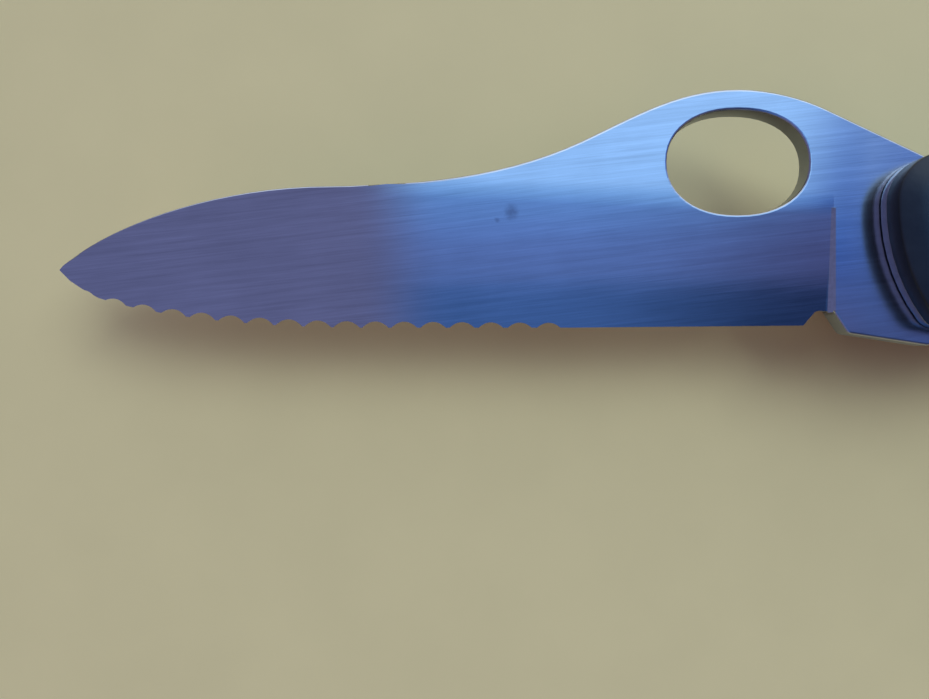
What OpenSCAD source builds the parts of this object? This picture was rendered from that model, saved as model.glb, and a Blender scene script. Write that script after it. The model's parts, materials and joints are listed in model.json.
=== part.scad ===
// Folding rigging knife. The blade pivot is the origin of X and Y, and Z = 0 is the face it lies on.
// +X runs along the handle, -X along the open blade, +Y is the back of the knife.

/* [Handle] */
// Length of the handle
handle_len = 111; // [108:0.5:114]
// Distance from each pivot to its end of the handle
pivot_inset = 7.6; // [7.4:0.1:7.8]
// Thickness of each scale
scale_t = 3; // [2.6:0.1:3.4]
// Thickness of the plain liners
liner_t = 1; // [0.8:0.1:1.2]
// Thickness of the liner that carries the lock
lock_t = 1.2; // [1:0.1:1.4]

/* [Blade] */
// Thickness of the blade at its spine
blade_t = 2.4; // [2.2:0.1:2.6]
// Angle of the flat grind on each side
grind_angle = 4.2; // [3.8:0.1:4.3]
// Distance between two serrations
serration_pitch = 3.05; // [2.95:0.05:3.1]
// Number of serrations
serration_count = 17; // [10:1:17]
// Width of the opening hole
hole_w = 14.8; // [13:0.2:15.4]
// Height of the opening hole
hole_h = 10.9; // [9:0.1:11.2]

/* [Tools] */
// Thickness of the two openers
opener_t = 2.3; // [2:0.1:2.4]
// Thickness of the marlinspike's root
spike_t = 4.4; // [4:0.1:4.6]
// Reach of the marlinspike from its pivot
spike_len = 84; // [76:1:85]
// Reach of the can opener from its pivot
can_opener_len = 36; // [34:1:38]
// Reach of the bottle opener from its pivot
bottle_opener_len = 38; // [36:1:40]

/* [Pins and ring] */
// Radius of the two pivot pins
pin_r = 1.5; // [1.3:0.1:1.6]
// Radius of the pin that holds the springs
spring_pin_r = 1.2; // [1:0.1:1.3]
// Running clearance of a tool on its pin
run_gap = 0.05; // [0.03:0.01:0.08]
// Mean radius of the lanyard ring
ring_r = 6.5; // [5:0.5:7]
// Radius of the lanyard ring's wire
ring_wire_r = 0.75; // [0.6:0.05:0.9]

/* [Hidden] */
$fn = 64;
side_gap = 0.05;
washer_t = 0.15;
washer_r = 4.6;
// How far a cut passes the faces it goes through
over = 0.5;
spike_layer = spike_t + 4 * side_gap;
opener_layer = opener_t + 2 * side_gap;
blade_layer = blade_t + 2 * washer_t;

// Heights of the layers, from the lower face up
z_rear_liner = scale_t;
z_spike = z_rear_liner + liner_t;
z_centre = z_spike + spike_layer;
z_opener = z_centre + liner_t;
z_lock = z_opener + opener_layer;
z_blade_layer = z_lock + lock_t;
z_front_liner = z_blade_layer + blade_layer;
z_front_scale = z_front_liner + liner_t;
z_blade = z_blade_layer + washer_t;
z_mid = z_blade + blade_t / 2;

butt_x = handle_len - 2 * pivot_inset;
mid_x = butt_x / 2;
spring_pin_y = 10.6;

// Handle outline: five tangent arcs round each end, joined by two long shallow arcs
front_r = 19.6;
front_c = [front_r - pivot_inset, 5];
low_angle = 216;
low_r = 2.5;
low_c = front_c + (front_r - low_r) * [cos(low_angle), sin(low_angle)];
heel_angle = 258;
heel_r = 84;
heel_c = low_c + (low_r - heel_r) * [cos(heel_angle), sin(heel_angle)];
corner_r = 4.8;
corner_c = front_c + (front_r - corner_r) * [cos(179), sin(179)];
shoulder_r = 14;
shoulder_c = corner_c + (corner_r - shoulder_r) * [cos(118), sin(118)];
back_angle = 94.2;
belly_angle = 268.5;
back_start = shoulder_c + shoulder_r * [cos(back_angle), sin(back_angle)];
back_r = (mid_x - back_start[0]) / sin(back_angle - 90);
back_c = [mid_x, back_start[1] - back_r * sin(back_angle)];
belly_start = heel_c + heel_r * [cos(belly_angle), sin(belly_angle)];
belly_r = (mid_x - belly_start[0]) / sin(270 - belly_angle);
belly_c = [mid_x, belly_start[1] - belly_r * sin(belly_angle)];

// Where the parts round a pivot meet
tang_r = 6.5;
nose_y = 6.7;
nose_front = -1.1;
nose_back = 1.3;
blade_bar_y = 9.8;
tool_bar_y = 9;
boss_y = 8.2;
spring_inset = 0.25;

// Blade outline
tip = [-93.3, -1.25];
edge_y = -7.3;
belly_x = -61.4;
belly_len = 32.2;
belly_rise = 6.25;
first_gullet_x = -90.6;
gullet_r = 3.7;
gullet_depth = 0.6;
gullet_tilt = 20;
plain_edge_start = -40.6;
edge_height = 0.17;
edge_angle = 24;
choil = [-15, -7.08];
plunge_x = -12.3;
grind_start = [plunge_x, 5.5];
grind_slope = 2.6;
hole_c = [-22.2, 9.9];
hole_power = 2.2;
lock_face_angle = -44.6;
lock_face_d = 5.9;
tang_start = 102.4;
tang_end = -108.4;

// Lock arm, with its tip square to the tang's lock face
lock_dir = [cos(lock_face_angle), sin(lock_face_angle)];
lock_side = [-lock_dir[1], lock_dir[0]];
lock_slack = 0.1;
arm_root = 52;
arm_top = -2.2;
arm_low = -8.8;
arm_gap = 0.3;
arm_knee = [6.2, 8];
arm_tip_half = 2.65;

// Thumb scoop over the lock arm
scoop_x = 22;
scoop_y = -9.7;
scoop_r = 16;
scoop_scale = 2.6;
scoop_liner = 2.2;

// Pin heads and their sockets in the scales
head_r = 2.4;
spring_head_r = 2;
head_t = 0.6;
socket_gap = 0.1;

// Round taper of the marlinspike
spike_start = 13;
spike_r = 2.15;
spike_tip_r = 0.65;
spike_sides = 16;
spike_rings = 22;

// Screwdriver tips of the openers, and the grooves for a fingernail
can_taper = 9;
can_drop = 0.75;
bottle_taper = 8;
bottle_drop = 0.65;
nail_r = 1;

// Lanyard eye
eye_c = [butt_x + 8.4, 11];
eye_r = 3.3;
eye_hole_r = 1.7;

function arc_points(c, r, a0, a1, n) =
    [for (i = [0:n - 1]) c + r * [cos(a0 + (a1 - a0) * i / n), sin(a0 + (a1 - a0) * i / n)]];

function bezier_point(p, t) =
    pow(1 - t, 3) * p[0] + 3 * t * pow(1 - t, 2) * p[1] + 3 * t * t * (1 - t) * p[2] + t * t * t * p[3];

function bezier(p, n) = [for (i = [0:n - 1]) bezier_point(p, i / n)];

function unit(v) = v / norm(v);

function turn(u, v) = acos(max(-1, min(1, u * v)));

// One rounded corner at b, between a and c
function corner(a, b, c, r) =
    let (
        u = unit(a - b), v = unit(c - b), half = turn(u, v) / 2,
        centre = b + unit(u + v) * r / sin(half),
        from = b + u * r / tan(half) - centre,
        to = b + v * r / tan(half) - centre,
        a0 = atan2(from[1], from[0]),
        raw = atan2(to[1], to[0]) - a0,
        sweep = raw > 180 ? raw - 360 : raw < -180 ? raw + 360 : raw,
        n = max(2, ceil(abs(sweep) / 15))
    )
    [for (i = [0:n]) centre + r * [cos(a0 + sweep * i / n), sin(a0 + sweep * i / n)]];

// A polygon from [x, y, radius] corners
function rounded(p) =
    let (n = len(p), xy = [for (q = p) [q[0], q[1]]])
    [for (i = [0:n - 1])
        each p[i][2] > 0 ? corner(xy[(i + n - 1) % n], xy[i], xy[(i + 1) % n], p[i][2]) : [xy[i]]];

function sharp(p) = [for (q = p) [q[0], q[1], 0]];

function flip_x(p) = [for (i = [len(p) - 1:-1:0]) [butt_x - p[i][0], p[i][1]]];

function end_points(inset) = concat(
    arc_points(heel_c, heel_r - inset, belly_angle, heel_angle, 6),
    arc_points(low_c, low_r - inset, heel_angle, low_angle, 5),
    arc_points(front_c, front_r - inset, low_angle, 179, 7),
    arc_points(corner_c, corner_r - inset, 179, 118, 7),
    arc_points(shoulder_c, shoulder_r - inset, 118, back_angle, 4)
);

function handle_points(inset) = concat(
    end_points(inset),
    arc_points(back_c, back_r - inset, back_angle, 180 - back_angle, 12),
    flip_x(end_points(inset)),
    arc_points(belly_c, belly_r - inset, 540 - belly_angle, belly_angle, 8)
);

// Height of the cutting edge at x: level, then a quarter ellipse up to the tip
function edge_at(x) =
    let (u = max(0, belly_x - x) / belly_len) edge_y + belly_rise * (1 - sqrt(max(0, 1 - u * u)));

function edge_slope(x) = atan2(edge_at(x + 0.1) - edge_at(x - 0.1), 0.2);

function spine_points() = concat(
    bezier([tip, [-91, 1.6], [-79.5, 7.45], [-64.6, 7.45]], 20),
    bezier([[-64.6, 7.45], [-55.5, 7.5], [-46.5, 8.4], [-38.5, 12.1]], 14),
    bezier([[-38.5, 12.1], [-32.5, 14.95], [-28.3, 17.5], [-22.1, 17.5]], 14),
    bezier([[-22.1, 17.5], [-18.8, 17.5], [-15.5, 16.65], [-12.8, 15.35]], 8),
    [[-12.8, 15.35], [-1.4, 9.95]]
);

function belly_points() = concat(
    [for (a = [0:5:60]) [belly_x - belly_len * sin(a), edge_y + belly_rise * (1 - cos(a))]],
    [[-91, -3.2], [-92.2, -2.4]]
);

module layer(z, t) {
    translate([0, 0, z]) linear_extrude(t) children();
}

module at_butt() {
    translate([butt_x, 0, 0]) mirror([1, 0, 0]) children();
}

// A box between two corners, for the flat regions of the springs
module region(x0, y0, x1, y1) {
    translate([x0, y0]) square([x1 - x0, y1 - y0]);
}

module handle_outline(inset = 0) {
    polygon(handle_points(inset));
}

// A round cut through a layer
module bore(p, z, t, r) {
    translate([p[0], p[1], z - over]) cylinder(h = t + 2 * over, r = r);
}

module spring_pin_hole(z, t) {
    bore([mid_x, spring_pin_y], z, t, spring_pin_r);
}

module pin_holes(z, t) {
    bore([0, 0], z, t, pin_r);
    bore([butt_x, 0], z, t, pin_r);
    spring_pin_hole(z, t);
}

module thumb_scoop(z, t, depth) {
    bore([scoop_x, scoop_y + depth - scoop_r], z, t, scoop_r);
}

// One scale, with its flat outer face up: slabs step in towards that face
module scale_body() {
    steps = [[0, 0.68, 0], [0.68, 0.83, 0.15], [0.83, 0.94, 0.55], [0.94, 1, 1.3]];
    for (s = steps)
        layer(s[0] * scale_t, (s[1] - s[0]) * scale_t) handle_outline(s[2]);
}

module socket(p, r) {
    translate([p[0], p[1], -over]) cylinder(h = over + head_t + socket_gap, r = r + socket_gap);
}

module scale_sockets() {
    socket([0, 0], head_r);
    socket([butt_x, 0], head_r);
    socket([mid_x, spring_pin_y], spring_head_r);
}

module front_scale() {
    color("#1c2430") difference() {
        translate([0, 0, z_front_scale]) difference() {
            scale_body();
            scale_sockets();
        }
        thumb_scoop(z_front_scale, scale_t, scoop_scale);
    }
}

module rear_scale() {
    color("#1c2430") translate([0, 0, scale_t]) mirror([0, 0, 1]) difference() {
        scale_body();
        scale_sockets();
    }
}

module front_liner() {
    color("lightgray") difference() {
        layer(z_front_liner, liner_t) handle_outline(0.05);
        pin_holes(z_front_liner, liner_t);
        thumb_scoop(z_front_liner, liner_t, scoop_liner);
    }
}

module rear_liner() {
    color("lightgray") difference() {
        layer(z_rear_liner, liner_t) handle_outline(0.05);
        pin_holes(z_rear_liner, liner_t);
    }
}

module centre_liner() {
    color("lightgray") difference() {
        layer(z_centre, liner_t) union() {
            handle_outline(0.15);
            polygon([[butt_x - 2, 10.6], [eye_c[0] - 1, eye_c[1] + 3.1], [eye_c[0] + 2.6, eye_c[1] - 2],
                [butt_x + 6.5, 4]]);
        }
        pin_holes(z_centre, liner_t);
        bore(eye_c, z_centre, liner_t, eye_hole_r);
    }
    color("lightgray") difference() {
        translate([eye_c[0], eye_c[1], z_centre]) cylinder(h = liner_t, r = eye_r);
        bore(eye_c, z_centre, liner_t, eye_hole_r);
    }
}

module arm_outline() {
    foot = lock_dir * (lock_face_d + lock_slack);
    polygon(rounded(concat(
        sharp([foot + arm_tip_half * lock_side, foot - arm_tip_half * lock_side]),
        [[arm_knee[0], arm_low, 2], [arm_root, arm_low, 0], [arm_root, arm_top, 0], [arm_knee[1], arm_top, 0]]
    )));
}

module lock_liner() {
    foot = lock_dir * (lock_face_d - arm_gap);
    back = arm_root + arm_gap;
    top = arm_top + arm_gap;
    below = -14;
    color("silver") difference() {
        layer(z_lock, lock_t) difference() {
            handle_outline(0.15);
            polygon([
                foot + (arm_tip_half + 0.1) * lock_side, foot - (arm_tip_half + 0.55) * lock_side,
                [1.6, below], [back, below], [back, top], [arm_knee[1], top]
            ]);
        }
        pin_holes(z_lock, lock_t);
    }
}

module lock_arm() {
    color("silver") layer(z_lock, lock_t) arm_outline();
}

// The round of the tang, clockwise, with the flat that the lock arm stands behind
function tang_points() =
    let (half = acos(lock_face_d / tang_r), top = lock_face_angle + half, low = lock_face_angle - half)
    concat(
        arc_points([0, 0], tang_r, tang_start, top, 16),
        [tang_r * [cos(top), sin(top)]],
        arc_points([0, 0], tang_r, low, tang_end, 5)
    );

module blade_outline() {
    polygon(rounded(concat(
        sharp(spine_points()),
        sharp(tang_points()),
        [[-2.2, -9.25, 0.5], [-10.75, -7.95, 0.7], [-12.3, -5.6, 0.4], [-13.7, -5.5, 0.7]],
        [[choil[0], choil[1], 0], [plain_edge_start + 4, edge_y, 0]],
        sharp(belly_points())
    )));
}

// Material above one flat of the grind
module grind_cut() {
    intersection() {
        translate([grind_start[0], grind_start[1], z_mid + blade_t / 2])
            rotate([0, 0, -grind_slope]) rotate([grind_angle, 0, 0])
                translate([-100, -40, 0]) cube([110, 40, 6]);
        translate([plunge_x - 100, -40, z_mid]) cube([100, 80, 10]);
    }
}

// Edge bevel of the plain stretch, ground from the lower face like the serrations
module edge_cut() {
    len = choil[0] - plain_edge_start + 1;
    translate([plain_edge_start, edge_y, z_mid + edge_height]) rotate([-edge_angle, 0, 0])
        translate([0, -2, -blade_t]) cube([len, 8, blade_t]);
}

module both_sides() {
    children();
    translate([0, 0, 2 * z_mid]) mirror([0, 0, 1]) children();
}

// One scallop, ground from the lower face at a flat angle
module gullet(x) {
    translate([x, edge_at(x), z_mid + edge_height]) rotate([0, 0, edge_slope(x)])
        translate([0, gullet_depth - gullet_r * sin(gullet_tilt), -gullet_r * cos(gullet_tilt)])
            rotate([-90 - gullet_tilt, 0, 0]) cylinder(h = 16, r = gullet_r, center = true);
}

function super_power(v, p) = sign(v) * pow(abs(v), p);

// An oval a little squarer than an ellipse
module hole_outline() {
    n = 2 / hole_power;
    polygon([for (a = [0:7.5:359])
        hole_c + [hole_w / 2 * super_power(cos(a), n), hole_h / 2 * super_power(sin(a), n)]]);
}

module blade() {
    color("#b8c4d8") difference() {
        layer(z_blade, blade_t) difference() {
            blade_outline();
            hole_outline();
        }
        both_sides() grind_cut();
        for (i = [0:serration_count - 1]) gullet(first_gullet_x + i * serration_pitch);
        edge_cut();
        bore([0, 0], z_blade, blade_t, pin_r + run_gap);
    }
}

module washer(z) {
    color("#b08d57") difference() {
        translate([0, 0, z]) cylinder(h = washer_t, r = washer_r);
        bore([0, 0], z, washer_t, pin_r);
    }
}

module front_washer() {
    washer(z_blade + blade_t);
}

module rear_washer() {
    washer(z_blade_layer);
}

// Back spring: a bar along the back with the nose that bears on a tang
module spring_outline(bar_y) {
    intersection() {
        handle_outline(spring_inset);
        union() {
            region(nose_front, bar_y, butt_x - nose_front, 20);
            polygon([[mid_x - 7, 20], [mid_x - 7, bar_y], [mid_x - 4, boss_y], [mid_x + 4, boss_y],
                [mid_x + 7, bar_y], [mid_x + 7, 20]]);
            children();
        }
    }
}

module nose() {
    region(nose_front, nose_y, nose_back, 20);
}

module blade_spring() {
    color("gray") difference() {
        union() {
            layer(z_blade_layer, blade_layer) spring_outline(blade_bar_y) {
                nose();
                region(butt_x - 1.6, 0, butt_x + 2.3, 20);
            }
            translate([butt_x, 0, z_blade_layer]) cylinder(h = blade_layer, r = 2.3);
        }
        pin_holes(z_blade_layer, blade_layer);
    }
}

module opener_spring() {
    color("gray") difference() {
        layer(z_opener, opener_layer) spring_outline(tool_bar_y) {
            nose();
            at_butt() nose();
        }
        spring_pin_hole(z_opener, opener_layer);
    }
}

module spike_spring() {
    color("gray") difference() {
        union() {
            layer(z_spike, spike_layer) spring_outline(tool_bar_y) {
                at_butt() nose();
                region(-3.4, 0, 3, 20);
            }
            translate([0, 0, z_spike]) cylinder(h = spike_layer, r = 4);
        }
        pin_holes(z_spike, spike_layer);
    }
}

// A folded tool lies along +X from its pivot, with its working edge towards the spring
module tool_blank(z, t, corners) {
    difference() {
        layer(z, t) {
            circle(r = tang_r);
            polygon(rounded(corners));
        }
        bore([0, 0], z, t, pin_r + run_gap);
    }
}

// Thins a tool's end to a screwdriver tip: a wedge off each of its faces
module screwdriver_cut(len, taper, drop, z) {
    for (side = [0, 1])
        translate([0, 0, z + opener_t / 2]) mirror([0, 0, side])
            translate([len - taper, -20, opener_t / 2]) rotate([0, atan(drop / taper), 0])
                cube([taper + 6, 40, 4]);
}

// A groove for a fingernail in a tool's upper face
module nail_groove(x, len, z) {
    translate([x, -8.9, z + opener_t + over]) rotate([0, 90, 0]) cylinder(h = len, r = nail_r, center = true);
}

module can_opener() {
    z = z_opener + side_gap;
    n = can_opener_len;
    color("lightsteelblue") difference() {
        tool_blank(z, opener_t, [
            [1.6, -8, 1], [12, -9.3, 6], [n - 9, -8.4, 6], [n, -6.4, 0.4], [n, -3.4, 0.4],
            [n - 7, -2.2, 2], [n - 9, 2.6, 2], [n - 13.5, 5, 0.3], [n - 14.6, -1.4, 1.6],
            [n - 19.5, -1.8, 1.8], [n - 21.5, 5.6, 2], [1.6, 6, 0]
        ]);
        screwdriver_cut(n, can_taper, can_drop, z);
        nail_groove(12, 9, z);
    }
}

module bottle_opener() {
    z = z_opener + side_gap;
    n = bottle_opener_len;
    color("lightsteelblue") at_butt() difference() {
        tool_blank(z, opener_t, [
            [1.6, -8, 1], [16, -9.4, 6], [n, -7.6, 0.5], [n, -1, 0.5], [n - 6.5, -0.2, 1.5],
            [n - 7.5, 4.6, 1.2], [n - 11.5, 4.2, 0.6], [n - 12, -1.6, 1.4], [n - 18, -1.2, 2],
            [n - 19.5, 6, 2], [1.6, 6.2, 0]
        ]);
        screwdriver_cut(n, bottle_taper, bottle_drop, z);
        bore([9, -9.9], z, opener_t, 1.3);
        nail_groove(19, 10, z);
    }
}

function spike_axis(s) = let (x = spike_start + s * (spike_len - spike_start - spike_tip_r))
    [x, -6.6 - 0.5 * sin(180 * s) + 1.2 * s];

function spike_radius(s) = spike_tip_r + (spike_r - spike_tip_r) * pow(1 - s, 0.75);

function spike_ring(c, r) =
    [for (j = [0:spike_sides - 1]) let (a = 360 * j / spike_sides) [c[0], c[1] + r * cos(a), r * sin(a)]];

function spike_points() = concat(
    [for (i = [0:spike_rings]) let (s = i / spike_rings) each spike_ring(spike_axis(s), spike_radius(s))],
    [for (a = [30, 60]) each spike_ring(spike_axis(1) + [spike_tip_r * sin(a), 0], spike_tip_r * cos(a))],
    [[spike_len, spike_axis(1)[1], 0]]
);

module spike_taper() {
    n = spike_sides;
    last = spike_rings + 2;
    cells = [for (i = [0:last - 1], j = [0:n - 1]) [i * n + j, i * n + (j + 1) % n]];
    polyhedron(spike_points(), concat(
        [[for (j = [0:n - 1]) j]],
        [for (c = cells) [c[0], c[0] + n, c[1] + n]],
        [for (c = cells) [c[0], c[1] + n, c[1]]],
        [for (j = [0:n - 1]) [last * n + j, (last + 1) * n, last * n + (j + 1) % n]]
    ));
}

module marlinspike() {
    z = z_spike + 2 * side_gap;
    color("lightsteelblue") at_butt() union() {
        difference() {
            tool_blank(z, spike_t, [
                [1.6, -8, 1], [12, -9.3, 5], [20, -8.9, 2], [21, -6, 1.5],
                [17, -3.5, 4], [13, 5.2, 3], [1.6, 6, 0]
            ]);
            layer(z - over, spike_t + 2 * over)
                polygon(rounded([[7, -5.6, 1], [15, -6, 1], [15, -3.4, 1], [7, -1.6, 1]]));
        }
        translate([0, 0, z + spike_t / 2]) spike_taper();
    }
}

// Headed pin between the outer faces of the two outer liners
module pin(x, y, r, head) {
    z = z_rear_liner;
    h = z_front_scale - z_rear_liner;
    color("goldenrod") translate([x, y, z]) {
        cylinder(h = h, r = r);
        translate([0, 0, -head_t]) cylinder(h = head_t, r = head);
        translate([0, 0, h]) cylinder(h = head_t, r = head);
    }
}

module head_pin() {
    pin(0, 0, pin_r, head_r);
}

module butt_pin() {
    pin(butt_x, 0, pin_r, head_r);
}

module spring_pin() {
    pin(mid_x, spring_pin_y, spring_pin_r, spring_head_r);
}

module lanyard_ring() {
    color("silver") translate([eye_c[0] + ring_r, eye_c[1], z_centre + liner_t / 2])
        rotate([90, 0, 0]) rotate_extrude() translate([ring_r, 0]) circle(r = ring_wire_r);
}

front_scale();
rear_scale();
front_liner();
lock_liner();
lock_arm();
centre_liner();
rear_liner();
blade();
front_washer();
rear_washer();
blade_spring();
opener_spring();
spike_spring();
marlinspike();
bottle_opener();
can_opener();
head_pin();
butt_pin();
spring_pin();
lanyard_ring();
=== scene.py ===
"""Looks of the folding rigging knife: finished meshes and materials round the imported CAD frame.

Everything is in metres in the CAD's own frame: the open blade points to -X, +Y is the knife's back,
+Z is up, and the knife lies on its rear scale at Z = 0.
"""
import json
import math

import bmesh
import bpy
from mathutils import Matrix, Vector

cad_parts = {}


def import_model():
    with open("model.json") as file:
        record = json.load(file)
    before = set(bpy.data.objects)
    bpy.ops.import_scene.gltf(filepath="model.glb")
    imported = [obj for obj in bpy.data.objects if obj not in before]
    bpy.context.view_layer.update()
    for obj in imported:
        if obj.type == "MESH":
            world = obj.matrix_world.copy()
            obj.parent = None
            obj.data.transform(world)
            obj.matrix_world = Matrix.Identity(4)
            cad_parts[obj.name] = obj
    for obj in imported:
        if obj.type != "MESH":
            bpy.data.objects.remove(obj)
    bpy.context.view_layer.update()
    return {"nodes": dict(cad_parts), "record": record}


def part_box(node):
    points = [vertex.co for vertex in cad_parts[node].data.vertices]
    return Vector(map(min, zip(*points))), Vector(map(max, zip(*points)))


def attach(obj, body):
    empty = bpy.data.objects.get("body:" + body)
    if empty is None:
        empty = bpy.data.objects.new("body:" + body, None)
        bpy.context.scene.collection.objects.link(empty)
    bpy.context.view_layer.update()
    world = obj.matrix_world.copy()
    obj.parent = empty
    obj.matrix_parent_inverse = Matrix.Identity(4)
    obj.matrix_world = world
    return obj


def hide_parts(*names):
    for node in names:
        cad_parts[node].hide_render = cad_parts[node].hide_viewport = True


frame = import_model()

nodes = frame["nodes"]
MM = 0.001
WHITE = (1.0, 1.0, 1.0)


# ---------------------------------------------------------------- shader helpers

class Graph:
    """A node tree with short calls for the nodes that it needs."""

    def __init__(self, tree):
        self.tree = tree

    def node(self, kind, **settings):
        made = self.tree.nodes.new(kind)
        for key, value in settings.items():
            setattr(made, key, value)
        return made

    def link(self, out, socket):
        self.tree.links.new(out, socket)

    def feed(self, socket, value):
        """Sets a number or a colour on a socket, or links another socket to it."""
        if isinstance(value, (int, float)):
            socket.default_value = value
        elif isinstance(value, tuple):
            socket.default_value = (*value, 1)
        else:
            self.link(value, socket)

    def math(self, operation, a, b=0.0):
        made = self.node("ShaderNodeMath", operation=operation)
        self.feed(made.inputs[0], a)
        self.feed(made.inputs[1], b)
        return made.outputs[0]

    def weighted(self, *pairs):
        """The sum of each value times its weight."""
        total = self.math("MULTIPLY", *pairs[0])
        for value, weight in pairs[1:]:
            total = self.math("ADD", total, self.math("MULTIPLY", value, weight))
        return total

    def spread(self, value, low, high, out_low=0.0, out_high=1.0, curve="LINEAR"):
        made = self.node("ShaderNodeMapRange", interpolation_type=curve)
        for key, number in (("From Min", low), ("From Max", high), ("To Min", out_low), ("To Max", out_high)):
            made.inputs[key].default_value = number
        self.link(value, made.inputs["Value"])
        return made.outputs["Result"]

    def mix(self, factor, a, b, blend="MIX"):
        made = self.node("ShaderNodeMix", data_type="RGBA", blend_type=blend)
        self.feed(made.inputs[0], factor)
        self.feed(made.inputs[6], a)
        self.feed(made.inputs[7], b)
        return made.outputs[2]


def dimmed(color, share):
    return tuple(c * share for c in color)


class Material(Graph):
    """A principled material over object coordinates."""

    def __init__(self, name, color, metallic, roughness, **inputs):
        self.mat = bpy.data.materials.new(name)
        self.mat.use_nodes = True
        super().__init__(self.mat.node_tree)
        self.shader = self.tree.nodes["Principled BSDF"]
        self.shader.inputs["Base Color"].default_value = (*color, 1)
        self.shader.inputs["Metallic"].default_value = metallic
        self.shader.inputs["Roughness"].default_value = roughness
        for key, value in inputs.items():
            self.shader.inputs[key.replace("_", " ")].default_value = value
        self.texture = self.node("ShaderNodeTexCoord")
        self.place = self.texture.outputs["Object"]
        self.relief = None

    def mapped(self, scale, turn=0.0):
        """Object coordinates turned about Z, then scaled per axis (a large scale makes fine detail)."""
        turned = self.node("ShaderNodeMapping")
        turned.inputs["Rotation"].default_value = (0, 0, math.radians(turn))
        self.link(self.place, turned.inputs["Vector"])
        scaled = self.node("ShaderNodeMapping")
        scaled.inputs["Scale"].default_value = scale
        self.link(turned.outputs["Vector"], scaled.inputs["Vector"])
        return scaled.outputs["Vector"]

    def noise(self, scale, turn=0.0, detail=4.0, rough=0.55):
        made = self.node("ShaderNodeTexNoise")
        made.inputs["Scale"].default_value = 1
        made.inputs["Detail"].default_value = detail
        made.inputs["Roughness"].default_value = rough
        self.link(self.mapped(scale, turn), made.inputs["Vector"])
        return made.outputs["Fac"]

    def tint(self, factor, dark, light):
        """Base colour that runs from dark to light as factor runs from 0 to 1."""
        self.link(self.mix(factor, dark, light), self.shader.inputs["Base Color"])

    def bump(self, height, depth, strength=1.0):
        """Adds one layer of relief, depth in metres for a height of 1."""
        made = self.node("ShaderNodeBump")
        self.feed(made.inputs["Strength"], strength)
        made.inputs["Distance"].default_value = depth
        self.link(height, made.inputs["Height"])
        if self.relief is not None:
            self.link(self.relief, made.inputs["Normal"])
        self.relief = made.outputs["Normal"]
        self.link(self.relief, self.shader.inputs["Normal"])

    def lean(self, slope, side, where):
        """Where `where` is 1, turns the normal to (-slope, 0, 1), or (-slope, 0, -1) if side is below 0."""
        joined = self.node("ShaderNodeCombineXYZ")
        self.feed(joined.inputs[0], -slope)
        self.feed(joined.inputs[2], self.math("SIGN", side))
        turned = self.node("ShaderNodeVectorTransform", vector_type="NORMAL")
        turned.convert_from = "OBJECT"
        turned.convert_to = "WORLD"
        self.link(joined.outputs[0], turned.inputs[0])
        mixed = self.node("ShaderNodeMix", data_type="VECTOR")
        self.feed(mixed.inputs[0], where)
        self.link(self.relief, mixed.inputs[4])
        self.link(turned.outputs[0], mixed.inputs[5])
        self.relief = mixed.outputs[1]
        self.link(self.relief, self.shader.inputs["Normal"])


def scratched_steel(name, color, roughness, turn=0.0, spots=0.25):
    """Satin steel with fine lines along X, turned by turn degrees, and faint cloudy wear."""
    m = Material(name, color, 1.0, roughness, Anisotropic=0.4)
    fine = m.noise((60, 9000, 9000), turn, detail=3)
    coarse = m.noise((25, 1800, 1800), turn + 2, detail=4)
    cloud = m.noise((90, 90, 90), detail=5)
    lines = m.weighted((fine, 0.55), (coarse, 0.45))
    m.bump(lines, 0.000002)
    uneven = m.weighted((lines, 0.7), (cloud, 0.3))
    m.link(m.spread(uneven, 0.3, 0.7, roughness * 0.85, roughness * 1.2), m.shader.inputs["Roughness"])
    m.tint(m.spread(uneven, 0.35, 0.6), dimmed(color, 1 - spots), color)
    return m.mat


blade_low, blade_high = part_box("blade")
BLADE_MIDDLE = (blade_low.z + blade_high.z) / 2

# The blade's grind line: its end at the plunge, its fall towards +X, and how much the ground face slopes
GRIND_X, GRIND_Y = -12.3 * MM, 5.5 * MM
GRIND_FALL = math.tan(math.radians(2.6))
GRIND_SLOPE = math.tan(math.radians(4.2))
# Half the width of the soft shoulder along the grind line
GRIND_SOFT = 1.25 * MM

# The plunge, softened: half its width, its height, where it fades in below the grind line, and its lean
PLUNGE_SOFT = 0.22 * MM
PLUNGE_STEP = 0.22 * MM
PLUNGE_TOP = (0.3 * MM, 0.36 * MM)
PLUNGE_LEAN = 0.5
# Painted shade on the plunge: how much it is darkened, and the share of the steel's colour that it is
# darkened to
PLUNGE_SHADE_AMOUNT = 0.2
PLUNGE_SHADE_SHARE = 0.2

# The steel's colour in the scratches, and the painted shade on the upright walls, as shares of the plain
# colour
SCRATCH_SHADE = 0.68
WALL_SHADE = 0.48
# Roughness added on the upright walls, and from the plunge to the handle
WALL_HAZE = 0.25
HANDLE_HAZE = 0.12
HANDLE_REACH = 4 * MM

# Dark marks on the blade's upper face: centre and reach in millimetres
STAINS = [((-45.8, 4.7, 15.7), (0.95, 1.1)), ((-47.3, 3.9, 15.7), (0.4, 0.35))]
STAIN_COLOR = (0.16, 0.14, 0.17)


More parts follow.
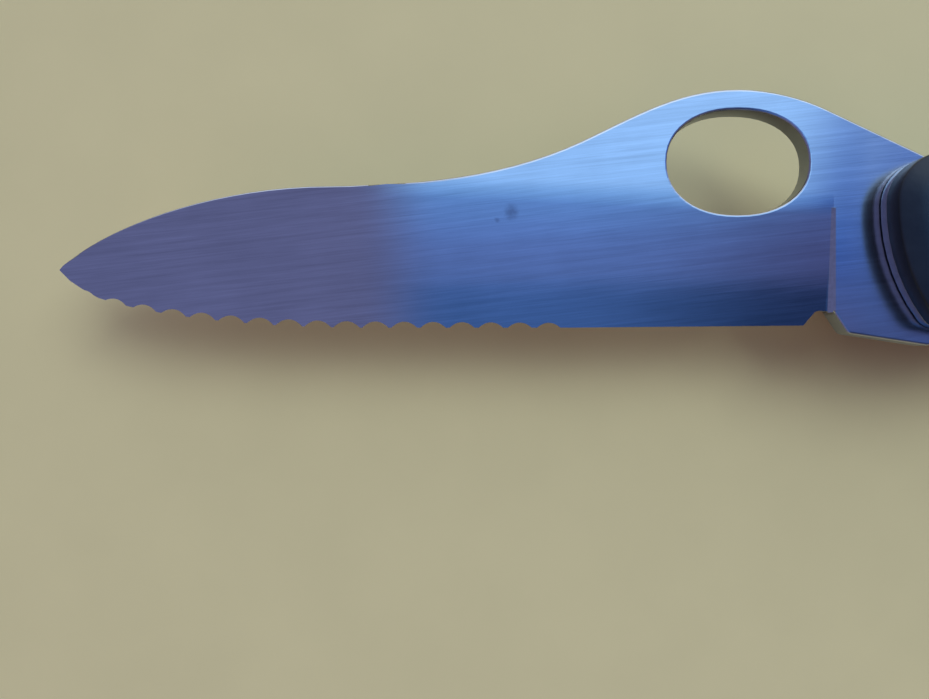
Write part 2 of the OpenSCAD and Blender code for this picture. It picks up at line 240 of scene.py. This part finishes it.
def blade_steel(name, color, roughness):
    """Fine-ground blade steel: long fine lines, a softened grind line and plunge, two small stains, and
    painted shade on the upright walls and the plunge.
    """
    m = Material(name, color, 1.0, roughness, Anisotropic=0.35)
    fine = m.noise((110, 7000, 7000), -6, detail=2)
    coarse = m.noise((70, 2500, 2500), -7, detail=4, rough=0.62)
    swell = m.noise((9, 160, 160), -4, detail=3)
    cloud = m.noise((130, 130, 130), detail=6)
    lines = m.weighted((fine, 0.4), (coarse, 0.6))
    m.bump(lines, 0.0000011)
    m.bump(swell, 0.000008)

    axes = m.node("ShaderNodeSeparateXYZ")
    m.link(m.place, axes.inputs[0])
    x, y, z = axes.outputs[0], axes.outputs[1], axes.outputs[2]
    east = m.math("SUBTRACT", x, GRIND_X)
    below = m.weighted((m.math("SUBTRACT", y, GRIND_Y), -1), (east, -GRIND_FALL))
    ground = m.math("LESS_THAN", east, 0)
    shoulder = m.math("MAXIMUM", m.math("SUBTRACT", GRIND_SOFT, m.math("ABSOLUTE", below)), 0)
    rounded = m.math("MULTIPLY", m.math("MULTIPLY", shoulder, shoulder), ground)
    m.bump(m.math("MULTIPLY", rounded, -GRIND_SLOPE / (4 * GRIND_SOFT)), 1)
    fillet = m.spread(east, -PLUNGE_SOFT, PLUNGE_SOFT)
    fade = m.spread(below, *PLUNGE_TOP)
    m.bump(fillet, PLUNGE_STEP, fade)

    facing = m.node("ShaderNodeSeparateXYZ")
    m.link(m.texture.outputs["Normal"], facing.inputs[0])
    upright = m.spread(m.math("ABSOLUTE", facing.outputs["Z"]), 0.25, 0.55, 1, 0)
    off_plunge = m.spread(m.math("ABSOLUTE", east), 0.02 * MM, 0.1 * MM)
    wall = m.math("MULTIPLY", upright, off_plunge)
    m.lean(PLUNGE_LEAN, m.math("SUBTRACT", z, BLADE_MIDDLE), m.math("SUBTRACT", upright, wall))

    uneven = m.weighted((lines, 0.75), (cloud, 0.25))
    haze = m.weighted((m.spread(east, 0, HANDLE_REACH), HANDLE_HAZE), (wall, WALL_HAZE))
    worn = m.spread(uneven, 0.3, 0.7, roughness * 0.8, roughness * 1.35)
    m.link(m.math("ADD", worn, haze), m.shader.inputs["Roughness"])
    shade_of = m.mix(m.spread(uneven, 0.3, 0.66), dimmed(color, SCRATCH_SHADE), color)
    # Painted shade: the upright walls are darkened to WALL_SHADE of the steel's colour
    shade_of = m.mix(wall, shade_of, dimmed(color, WALL_SHADE))
    for centre, reach in STAINS:
        spot = m.node("ShaderNodeMapping", vector_type="TEXTURE")
        spot.inputs["Location"].default_value = [c * MM for c in centre]
        spot.inputs["Scale"].default_value = (reach[0] * MM, reach[1] * MM, 0.5 * MM)
        m.link(m.place, spot.inputs["Vector"])
        length = m.node("ShaderNodeVectorMath", operation="LENGTH")
        m.link(spot.outputs["Vector"], length.inputs[0])
        edge = m.weighted((length.outputs["Value"], 1), (m.noise((2600, 2600, 2600), detail=3), 0.7))
        shade_of = m.mix(m.spread(edge, 0.55, 1.35, 0.55, 0), shade_of, STAIN_COLOR)
    # Painted shade: the plunge strip is darkened where it fades in below the grind line
    plunge_shade = m.spread(m.math("ABSOLUTE", east), PLUNGE_SOFT, PLUNGE_SOFT * 1.3, PLUNGE_SHADE_AMOUNT, 0)
    shade_of = m.mix(m.math("MULTIPLY", plunge_shade, fade), shade_of, dimmed(color, PLUNGE_SHADE_SHARE))
    m.link(shade_of, m.shader.inputs["Base Color"])
    return m.mat


def polished_steel(name, color, roughness):
    """Bright polished steel with a few hairlines and a soft uneven gloss."""
    m = Material(name, color, 1.0, roughness)
    hair = m.noise((250, 5200, 5200), 8, detail=2)
    cloud = m.noise((260, 260, 260), detail=5)
    m.bump(hair, 0.0000009)
    m.link(m.spread(cloud, 0.3, 0.75, roughness * 0.7, roughness * 1.7), m.shader.inputs["Roughness"])
    m.tint(m.spread(cloud, 0.3, 0.7), dimmed(color, 0.88), color)
    return m.mat


def nylon(name, color, light):
    """Moulded nylon: a fine even pebble, a slight colour drift and soft rubbed patches."""
    m = Material(name, color, 0.0, 0.34, Coat_Weight=0.06, Coat_Roughness=0.2, Specular_IOR_Level=0.34)
    pebble = m.node("ShaderNodeTexVoronoi", feature="SMOOTH_F1")
    pebble.inputs["Scale"].default_value = 1
    pebble.inputs["Smoothness"].default_value = 0.8
    m.link(m.mapped((2600, 2600, 2600)), pebble.inputs["Vector"])
    swell = m.noise((120, 180, 180), detail=3)
    rub = m.noise((55, 240, 240), 6, detail=6, rough=0.6)
    m.bump(pebble.outputs["Distance"], 0.000012, 0.5)
    m.bump(swell, 0.00003)
    m.link(m.spread(rub, 0.35, 0.7, 0.29, 0.43), m.shader.inputs["Roughness"])
    m.tint(m.spread(rub, 0.42, 0.72), color, light)
    return m.mat


MATERIALS = {
    "blade_steel": blade_steel("blade_steel", (0.56, 0.585, 0.63), 0.09),
    "liner_steel": scratched_steel("liner_steel", (0.46, 0.48, 0.53), 0.22, spots=0.15),
    "spring_steel": scratched_steel("spring_steel", (0.50, 0.52, 0.55), 0.28, spots=0.2),
    "tool_steel": polished_steel("tool_steel", (0.62, 0.65, 0.70), 0.15),
    "ring_steel": polished_steel("ring_steel", (0.66, 0.68, 0.71), 0.12),
    "pin_brass": polished_steel("pin_brass", (0.72, 0.53, 0.24), 0.22),
    "washer_bronze": scratched_steel("washer_bronze", (0.55, 0.36, 0.18), 0.34, turn=30, spots=0.3),
    "navy_nylon": nylon("navy_nylon", (0.0045, 0.0085, 0.016), (0.0075, 0.0125, 0.022)),
}


def clad(piece, slot):
    """Gives a piece the one finish of its record slot."""
    piece.data.materials.clear()
    piece.data.materials.append(MATERIALS[slot])


# ---------------------------------------------------------------- mesh helpers

def body_of(node):
    bodies = frame["record"]["behaviour"]["bodies"]
    return next(name for name, members in bodies.items() if node in members)


def slot_of(node):
    return next(row["material_slot"] for row in frame["record"]["subparts"] if row["node"] == node)


def add_object(name, bm):
    mesh = bpy.data.meshes.new(name)
    bm.to_mesh(mesh)
    bm.free()
    piece = bpy.data.objects.new(name, mesh)
    bpy.context.scene.collection.objects.link(piece)
    return piece


def shade(piece, angle):
    """Smooth shading that stays sharp at edges over the angle."""
    for face in piece.data.polygons:
        face.use_smooth = True
    bm = bmesh.new()
    bm.from_mesh(piece.data)
    for edge in bm.edges:
        edge.smooth = len(edge.link_faces) == 2 and edge.calc_face_angle(0) < math.radians(angle)
    bm.to_mesh(piece.data)
    bm.free()


def stand_for(piece, node):
    """Gives the piece the material slot and the body of a node, and lets it replace that node."""
    clad(piece, slot_of(node))
    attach(piece, body_of(node))
    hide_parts(node)


def apply_modifiers(piece):
    bpy.context.view_layer.update()
    done = piece.evaluated_get(bpy.context.evaluated_depsgraph_get())
    mesh = bpy.data.meshes.new_from_object(done)
    piece.modifiers.clear()
    piece.data = mesh


def clean_copy(node):
    """A bmesh of a CAD node with its flat triangles joined into whole faces."""
    bm = bmesh.new()
    bm.from_mesh(nodes[node].data)
    bmesh.ops.remove_doubles(bm, verts=bm.verts, dist=2e-7)
    bmesh.ops.dissolve_limit(bm, angle_limit=math.radians(0.6), verts=bm.verts, edges=bm.edges)
    return bm


def eased(node, width, angle=28):
    """The node's own shape with its sharp edges broken by a small round, which stands for the node."""
    piece = add_object(node + "_eased", clean_copy(node))
    bevel = piece.modifiers.new("ease", "BEVEL")
    bevel.width = width
    bevel.segments = 2
    bevel.limit_method = "ANGLE"
    bevel.angle_limit = math.radians(angle)
    bevel.use_clamp_overlap = True
    apply_modifiers(piece)
    shade(piece, 35)
    stand_for(piece, node)


def outline_loop(node, z, facing):
    """The outer boundary of a CAD node's flat face at height z that faces up (1) or down (-1)."""
    bm = clean_copy(node)
    flat = {f for f in bm.faces if f.normal.z * facing > 0.999 and abs(f.calc_center_median().z - z) < 1e-6}
    rim = [e for e in bm.edges if sum(f in flat for f in e.link_faces) == 1]
    reach = {}
    for edge in rim:
        a, b = edge.verts
        reach.setdefault(a, []).append(b)
        reach.setdefault(b, []).append(a)
    loops = []
    while reach:
        here = next(iter(reach))
        loop = []
        while here in reach:
            loop.append(Vector((here.co.x, here.co.y)))
            here = next((v for v in reach.pop(here) if v in reach), None)
        loops.append(loop)
    bm.free()
    outer = max(loops, key=lambda loop: max(p.x for p in loop) - min(p.x for p in loop))
    area = sum(a.x * b.y - b.x * a.y for a, b in zip(outer, outer[1:] + outer[:1]))
    return outer if area > 0 else outer[::-1]


def resampled(loop, step):
    """The same closed line with evenly spaced points."""
    spans = [(b - a).length for a, b in zip(loop, loop[1:] + loop[:1])]
    count = round(sum(spans) / step)
    gap = sum(spans) / count
    points = []
    start = 0.0
    index = 0
    for k in range(count):
        while start + spans[index] < k * gap:
            start += spans[index]
            index += 1
        a, b = loop[index], loop[(index + 1) % len(loop)]
        points.append(a.lerp(b, (k * gap - start) / spans[index]))
    return points


# Points on each side that a leaning wall's direction is averaged over, so that it can't cross itself
LEAN_REACH = 6


def inward(loop):
    """Unit inward normals of a counter-clockwise loop, turning slowly past its corners."""
    n = len(loop)
    raw = []
    for i in range(n):
        along = (loop[(i + 1) % n] - loop[i - 1]).normalized()
        raw.append(Vector((-along.y, along.x)))
    around = range(-LEAN_REACH, LEAN_REACH + 1)
    return [sum((raw[(i + k) % n] for k in around), Vector((0, 0))).normalized() for i in range(n)]


# ---------------------------------------------------------------- scales

OUTLINE_STEP = 0.45 * MM
# Height, as a share of the scale's thickness, and how many millimetres the wall has leaned in there
SCALE_WALL = [(0, 0.06), (0.03, 0), (0.62, 0), (0.655, 0.02), (0.68, 0.06), (0.7, 0.13), (0.72, 0.24),
              (0.76, 0.5), (0.81, 0.84), (0.87, 1.26), (0.93, 1.7), (0.975, 2.1), (1, 2.5)]


def scale_shell(node):
    """A moulded scale: a wall that leans in and rolls over into a flat face, lofted from the CAD outline."""
    low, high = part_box(node)
    up = 1 if node == "front_scale" else -1
    z_inner, z_outer = (low.z, high.z) if up > 0 else (high.z, low.z)
    loop = resampled(outline_loop(node, z_inner, -up), OUTLINE_STEP)
    lean = inward(loop)
    bm = bmesh.new()
    rings = []
    for share, inset in SCALE_WALL:
        z = z_inner + share * (z_outer - z_inner)
        rings.append([bm.verts.new((*(p + d * inset * MM), z)) for p, d in zip(loop, lean)])
    count = len(loop)
    for below, above in zip(rings, rings[1:]):
        for i in range(count):
            j = (i + 1) % count
            bm.faces.new((below[i], below[j], above[j], above[i]))
    bm.faces.new(rings[-1])
    bm.faces.new(rings[0][::-1])
    bmesh.ops.recalc_face_normals(bm, faces=bm.faces)
    piece = add_object(node + "_shell", bm)
    shade(piece, 40)
    stand_for(piece, node)


# ---------------------------------------------------------------- blade

RIM_ROUND = 0.25 * MM
# Beyond this X the grind line runs out at the spine, and the round takes this share of the room beside it
SPINE_RUNOUT_X = -50 * MM
RUNOUT_SHARE = 0.8
# The cutting edge is thinner than twice this and stays sharp
EDGE_THIN = 0.5 * MM


def blade_piece():
    """The CAD blade with its flats kept exactly flat, and its thick edges and thumb hole rounded over.

    Where the grind line runs out at the spine, the round narrows to the room left beside that line.
    """
    bm = clean_copy("blade")

    def wall_edge(edge):
        if len(edge.link_faces) != 2:
            return False
        tilt = sorted(abs(f.normal.z) for f in edge.link_faces)
        return tilt[0] < 0.1 and tilt[1] > 0.97

    def at_plunge(edge):
        return all(abs(v.co.x - GRIND_X) < 1e-6 for v in edge.verts)

    def below_grind_line(v):
        return GRIND_Y - v.co.y - (v.co.x - GRIND_X) * GRIND_FALL

    def thick(edge):
        return all(abs(v.co.z - BLADE_MIDDLE) > EDGE_THIN for v in edge.verts)

    def room(v):
        """The share of the full round that fits at this point."""
        if v.co.x > SPINE_RUNOUT_X:
            return 1.0
        return min(1.0, abs(below_grind_line(v)) * RUNOUT_SHARE / RIM_ROUND)

    share = bm.edges.layers.float.new("bevel_weight_edge")
    for edge in bm.edges:
        if wall_edge(edge) and thick(edge) and not at_plunge(edge):
            edge[share] = min(room(v) for v in edge.verts)
    sharp = add_object("blade_sharp", bm)
    rounding = sharp.modifiers.new("rounding", "BEVEL")
    rounding.limit_method = "WEIGHT"
    rounding.width = RIM_ROUND
    rounding.segments = 4
    rounding.use_clamp_overlap = False
    bm = bmesh.new()
    bm.from_object(sharp, bpy.context.evaluated_depsgraph_get())
    bpy.data.objects.remove(sharp)
    for face in bm.faces:
        face.smooth = abs(face.normal.z) < 0.95
    for edge in bm.edges:
        edge.smooth = len(edge.link_faces) == 2 and edge.calc_face_angle(0) < math.radians(14)
    stand_for(add_object("blade_ground", bm), "blade")


# ---------------------------------------------------------------- lanyard ring

def split_ring():
    """A key ring of flattened wire: two turns pressed together, with the step where the wire crosses over."""
    low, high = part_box("lanyard_ring")
    middle = (low + high) / 2
    outer = (high.z - low.z) / 2
    half_wide = 0.66 * MM
    half_gap = 0.02 * MM
    half_thick = (high.y - low.y) / 4 - half_gap
    radius = outer - half_wide
    turns = 1.96
    steps = 150
    sides = 12
    squareness = 0.6
    bm = bmesh.new()
    rings = []
    for k in range(steps + 1):
        share = k / steps
        angle = 2 * math.pi * turns * share
        cross = min(1, max(0, (share - 0.46) / 0.08))
        shift = (2 * cross * cross * (3 - 2 * cross) - 1) * (half_thick + half_gap)
        outward = Vector((math.cos(angle), 0, math.sin(angle)))
        centre = middle + outward * radius + Vector((0, shift, 0))
        ring = []
        for j in range(sides):
            a = 2 * math.pi * (j + 0.5) / sides
            wide = math.copysign(abs(math.cos(a)) ** squareness, math.cos(a)) * half_wide
            thick = math.copysign(abs(math.sin(a)) ** squareness, math.sin(a)) * half_thick
            ring.append(bm.verts.new(centre + outward * wide + Vector((0, thick, 0))))
        rings.append(ring)
    for one, other in zip(rings, rings[1:]):
        for j in range(sides):
            i = (j + 1) % sides
            bm.faces.new((one[j], one[i], other[i], other[j]))
    bm.faces.new(rings[0][::-1])
    bm.faces.new(rings[-1])
    bmesh.ops.recalc_face_normals(bm, faces=bm.faces)
    piece = add_object("split_ring", bm)
    shade(piece, 40)
    stand_for(piece, "lanyard_ring")


for node_name, node in nodes.items():
    clad(node, slot_of(node_name))

LINER_ROUND = 0.08 * MM
TOOL_ROUND = 0.12 * MM
for node_name in ("front_liner", "rear_liner", "centre_liner", "lock_liner", "lock_arm"):
    eased(node_name, LINER_ROUND)
for node_name in ("blade_spring", "opener_spring", "spike_spring"):
    eased(node_name, TOOL_ROUND)
for node_name in ("bottle_opener", "can_opener", "marlinspike"):
    eased(node_name, TOOL_ROUND, angle=40)
blade_piece()
scale_shell("front_scale")
scale_shell("rear_scale")
split_ring()


# ---------------------------------------------------------------- floor, light and camera

FLOOR_COLOR = (0.46, 0.39, 0.215)


def stage_material():
    m = Material("studio_floor", FLOOR_COLOR, 0.0, 0.9)
    soft = m.noise((70, 70, 70), detail=6)
    m.tint(m.spread(soft, 0.35, 0.65), dimmed(FLOOR_COLOR, 0.97), FLOOR_COLOR)
    return m.mat


def floor():
    bpy.ops.mesh.primitive_plane_add(size=6, location=(0, 0, 0))
    plane = bpy.context.object
    plane.name = "studio_floor"
    plane.data.materials.append(stage_material())


def area_light(name, place, target, size, power, color):
    data = bpy.data.lights.new(name, "AREA")
    data.shape = "RECTANGLE"
    data.size, data.size_y = size
    data.energy = power
    data.color = color
    lamp = bpy.data.objects.new(name, data)
    bpy.context.scene.collection.objects.link(lamp)
    lamp.location = place
    lamp.rotation_euler = (Vector(target) - Vector(place)).to_track_quat("-Z", "Y").to_euler()
    lamp.visible_glossy = False


# What stands over the table, by Y / Z of a direction: a dark screen, a blue ceiling, a bright cool softbox
CEILING = [(-0.15, (0.078, 0.185, 0.51)), (-0.053, (0.080, 0.190, 0.53)), (-0.038, (0.160, 0.275, 0.70)),
           (0.0, (0.166, 0.285, 0.73)), (0.04, (0.176, 0.34, 0.86)), (0.08, (0.210, 0.46, 1.05)),
           (0.17, (0.34, 0.70, 1.35)), (0.26, (0.54, 0.98, 1.7)), (0.45, (0.62, 1.06, 1.75)),
           (0.75, (1.3, 1.65, 2.05)), (1.1, (1.4, 1.7, 2.0))]
VIOLET_WALL = (0.19, 0.205, 0.42)
# What the studio darkens to on the right: behind the dark screen, low down and high up
SCREEN_SHADE = (0.25, 0.23, 0.26)
VIOLET_SHADE = (0.66, 0.46, 0.48)
BLUE_SHADE = (0.17, 0.22, 0.45)
# The room round the table: the window's side, the side away from it, and the left
WINDOW_SIDE = (1.05, 1.15, 1.40)
FAR_SIDE = (0.17, 0.15, 0.17)
LEFT_SIDE = (0.18, 0.165, 0.29)


def world():
    """A soft studio: the room, and overhead the cool softbox and the screens that the blade mirrors.

    Overhead, a place is given by u = X / Z and v = Y / Z of its direction.
    """
    scene_world = bpy.data.worlds.new("studio")
    scene_world.use_nodes = True
    g = Graph(scene_world.node_tree)
    split = g.node("ShaderNodeSeparateXYZ")
    g.link(g.node("ShaderNodeTexCoord").outputs["Generated"], split.inputs["Vector"])
    up = g.math("MAXIMUM", split.outputs["Z"], 0.05)
    u = g.math("DIVIDE", split.outputs["X"], up)
    v = g.math("DIVIDE", split.outputs["Y"], up)
    ramp = g.node("ShaderNodeValToRGB")
    low, high = CEILING[0][0], CEILING[-1][0]
    stops = ramp.color_ramp.elements
    while len(stops) < len(CEILING):
        stops.new(0.5)
    for stop, (place, color) in zip(stops, CEILING):
        stop.position = (place - low) / (high - low)
    for stop, (place, color) in zip(stops, CEILING):
        stop.color = (*color, 1)
    g.link(g.spread(v, low, high), ramp.inputs["Fac"])
    color = g.mix(g.spread(u, -0.16, -0.04, curve="SMOOTHSTEP"), VIOLET_WALL, ramp.outputs["Color"])
    above_screen = g.mix(g.spread(u, 0.18, 0.56, curve="SMOOTHSTEP"), WHITE, VIOLET_SHADE)
    corner = g.spread(g.weighted((u, 1), (v, -0.35)), 0.35, 0.53, curve="SMOOTHSTEP")
    corner = g.math("MULTIPLY", corner, g.spread(v, 0.40, 0.60, 1, 0))
    over_screen = g.mix(g.spread(v, 0.04, 0.15), above_screen, g.mix(corner, WHITE, BLUE_SHADE))
    on_screen = g.mix(g.spread(u, 0.10, 0.54, curve="SMOOTHSTEP"), WHITE, SCREEN_SHADE)
    shade_of = g.mix(g.spread(v, -0.053, -0.04), on_screen, over_screen)
    color = g.mix(1.0, color, shade_of, "MULTIPLY")
    room = g.mix(g.spread(split.outputs["Y"], 0.1, 0.8, curve="SMOOTHSTEP"), FAR_SIDE, WINDOW_SIDE)
    room = g.mix(g.spread(split.outputs["X"], -0.9, -0.3, curve="SMOOTHSTEP"), LEFT_SIDE, room)
    color = g.mix(g.spread(split.outputs["Z"], 0.45, 0.72, curve="SMOOTHSTEP"), room, color)
    g.link(color, g.tree.nodes["Background"].inputs["Color"])
    bpy.context.scene.world = scene_world


# The camera looks straight down from close over the blade; its lens and sensor are in millimetres
CAMERA_X, CAMERA_Y = -50.7 * MM, -9.6 * MM
CAMERA_HEIGHT = 69.5 * MM
LENS = 25.9
SENSOR_WIDTH = 36


def camera():
    data = bpy.data.cameras.new("camera")
    data.sensor_width = SENSOR_WIDTH
    data.lens = LENS
    data.clip_start = 5 * MM
    eye = bpy.data.objects.new("camera", data)
    bpy.context.scene.collection.objects.link(eye)
    eye.location = (CAMERA_X, CAMERA_Y, blade_high.z + CAMERA_HEIGHT)
    bpy.context.scene.camera = eye


LIT_POINT = (-0.03, 0, 0)

floor()
world()
area_light("window", (0.34, 0.30, 0.86), LIT_POINT, (0.50, 0.54), 7.6, (0.80, 0.95, 1.0))
area_light("bounce", (-0.55, -0.45, 0.55), LIT_POINT, (0.80, 0.80), 2.2, (1.0, 0.58, 0.30))
bpy.context.scene.view_settings.view_transform = "Standard"
camera()
